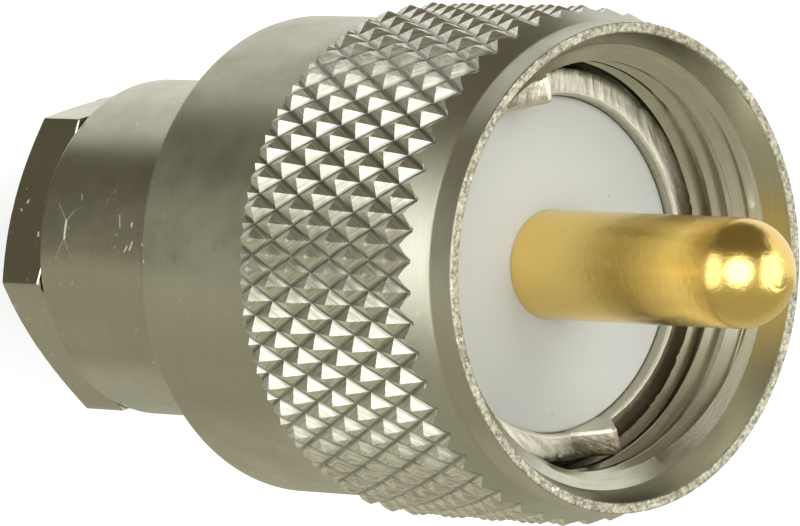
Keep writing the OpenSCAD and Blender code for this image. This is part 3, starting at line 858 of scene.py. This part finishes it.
# The slip washer and the braid clamp are turned brass, and the gasket between them is moulded
# rubber. The clamp nut's shank presses all three on to the cable's braid.
rubber, tree, shader = new_material("moulded_rubber")
place = add_node(tree, "ShaderNodeTexCoord").outputs["Object"]
grain = add_node(tree, "ShaderNodeTexNoise", {
    "Vector": place, "Scale": 5000.0, "Detail": 3.0, "Roughness": 0.6}).outputs["Fac"]
colour = add_node(tree, "ShaderNodeMix", {
    0: grain, 6: (0.012, 0.012, 0.012, 1), 7: (0.028, 0.028, 0.027, 1)}, data_type="RGBA").outputs[2]
tree.links.new(colour, shader.inputs["Base Color"])
shader.inputs["Roughness"].default_value = 0.75
bump = add_node(tree, "ShaderNodeBump", {"Strength": 0.6, "Distance": 0.01 * MM, "Height": grain})
tree.links.new(bump.outputs[0], shader.inputs["Normal"])
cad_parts["cable_gasket"].material_slots[0].material = rubber
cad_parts["slip_washer"].material_slots[0].material = brass
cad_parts["braid_clamp"].material_slots[0].material = brass


# The studio: a white floor that keeps the plug's shadow, two soft lamps, and a pale room with a
# dark wall and a dark ceiling, which the metal reflects. The floor lies 5 mm below the plug, so
# that it also clears the clamp nut when that is backed out.
floor_size = 3.0
floor_z = -5.0 * MM

floor_mesh = bpy.data.meshes.new("floor")
floor_mesh.from_pydata([
    (-floor_size, -floor_size, floor_z), (floor_size, -floor_size, floor_z),
    (floor_size, floor_size, floor_z), (-floor_size, floor_size, floor_z)], [], [(0, 1, 2, 3)])
floor = bpy.data.objects.new("floor", floor_mesh)
bpy.context.collection.objects.link(floor)
floor_paint, tree, shader = new_material("floor_paint")
tree.nodes.remove(shader)
rays = add_node(tree, "ShaderNodeLightPath").outputs
seen = calculate(tree, "MAXIMUM", rays["Is Camera Ray"], rays["Is Transmission Ray"])
glow = calculate(tree, "MULTIPLY", seen, 0.58)
paint = add_node(tree, "ShaderNodeBsdfDiffuse", {"Color": (0.52, 0.52, 0.52, 1)})
shine = add_node(tree, "ShaderNodeEmission", {"Color": (1, 1, 1, 1), "Strength": glow})
both = add_node(tree, "ShaderNodeAddShader", {0: paint.outputs[0], 1: shine.outputs[0]})
tree.links.new(both.outputs[0], tree.nodes["Material Output"].inputs["Surface"])
floor_mesh.materials.append(floor_paint)
floor.visible_glossy = False


def soft_lamp(name, place, size, power, target=(0, 0, 0.016)):
    lamp_data = bpy.data.lights.new(name, "AREA")
    lamp_data.shape = "RECTANGLE"
    lamp_data.size = size[0]
    lamp_data.size_y = size[1]
    lamp_data.energy = power
    lamp = bpy.data.objects.new(name, lamp_data)
    lamp.location = place
    lamp.rotation_mode = "QUATERNION"
    lamp.rotation_quaternion = (Vector(place) - Vector(target)).to_track_quat("Z", "Y")
    lamp.visible_glossy = False
    bpy.context.collection.objects.link(lamp)
    return lamp


soft_lamp("top_lamp", (0.06, 0.28, 0.42), (0.35, 0.30), 1.1)
soft_lamp("side_lamp", (-0.25, -0.25, 0.38), (0.30, 0.30), 0.35)

world = bpy.data.worlds.new("studio")
bpy.context.scene.world = world
world.use_nodes = True
tree = world.node_tree
rays = add_node(tree, "ShaderNodeLightPath").outputs
heading = add_node(tree, "ShaderNodeTexCoord").outputs["Generated"]


def along(axis):
    made = add_node(tree, "ShaderNodeVectorMath", {0: heading, 1: tuple(axis)}, operation="DOT_PRODUCT")
    return made.outputs["Value"]


def soft_step(value, edge, width):
    made = add_node(tree, "ShaderNodeMapRange", {
        "Value": calculate(tree, "SUBTRACT", value, edge), "From Min": -width, "From Max": width,
        "To Min": 0.0, "To Max": 1.0}, interpolation_type="SMOOTHSTEP")
    return made.outputs[0]


def paint_over(colour, share, paint):
    made = add_node(tree, "ShaderNodeMix", {0: share, 6: colour, 7: paint}, data_type="RGBA")
    return made.outputs[2]


def share_of(*shares):
    product = shares[0]
    for share in shares[1:]:
        product = calculate(tree, "MULTIPLY", product, share)
    return product


def below(value, edge, width):
    return calculate(tree, "SUBTRACT", 1.0, soft_step(value, edge, width))


right = along(camera_right)
height = along(camera_up)
toward = along(to_camera)
front = soft_step(toward, 0.06, 0.08)
beside = share_of(soft_step(height, -0.41, 0.08), below(height, 0.52, 0.08))
left_window = share_of(beside, below(right, -0.665, 0.05), soft_step(toward, 0.20, 0.09))
right_window = share_of(beside, soft_step(right, 0.66, 0.04), soft_step(toward, -0.06, 0.05))
off_centre = add_node(tree, "ShaderNodeVectorMath", {
    0: add_node(tree, "ShaderNodeCombineXYZ", {0: right, 1: height}).outputs[0],
    1: (-0.085, 0.045, 0)}, operation="DISTANCE").outputs["Value"]
centre_window = share_of(below(off_centre, 0.47, 0.09), front)
to_right = share_of(front, calculate(tree, "MAXIMUM", right, 0.0))
ceiling_edge = calculate(tree, "MULTIPLY_ADD", to_right, -0.24, calculate(tree, "MULTIPLY_ADD", front, -0.15, 0.76))
ceiling = soft_step(height, ceiling_edge, 0.08)
table = below(height, calculate(tree, "MULTIPLY_ADD", front, -0.47, -0.07), 0.05)
left_wall = share_of(below(right, -0.60, 0.12), below(toward, 0.06, 0.08), soft_step(toward, -0.63, 0.04))

room = paint_over((1.0, 0.99, 0.94, 1), front, (0.50, 0.47, 0.35, 1))
far_table = paint_over((0.42, 0.40, 0.295, 1), below(toward, -0.45, 0.22), (0.54, 0.52, 0.41, 1))
room = paint_over(room, table, far_table)
room = paint_over(room, ceiling, (0.15, 0.13, 0.085, 1))
room = paint_over(room, left_wall, (0.13, 0.115, 0.075, 1))
room = paint_over(room, share_of(left_wall, table), far_table)
room = paint_over(room, left_window, (1.9, 1.89, 1.82, 1))
room = paint_over(room, right_window, (2.3, 2.27, 2.15, 1))
room = paint_over(room, centre_window, (3.8, 3.75, 3.6, 1))
soft = paint_over(room, rays["Is Diffuse Ray"], (0.85, 0.86, 0.86, 1))
seen = calculate(tree, "MAXIMUM", rays["Is Camera Ray"], rays["Is Transmission Ray"])
shown = paint_over(soft, seen, (1.0, 1.0, 1.0, 1))
tree.links.new(shown, tree.nodes["Background"].inputs["Color"])
bpy.context.scene.view_settings.view_transform = "Standard"
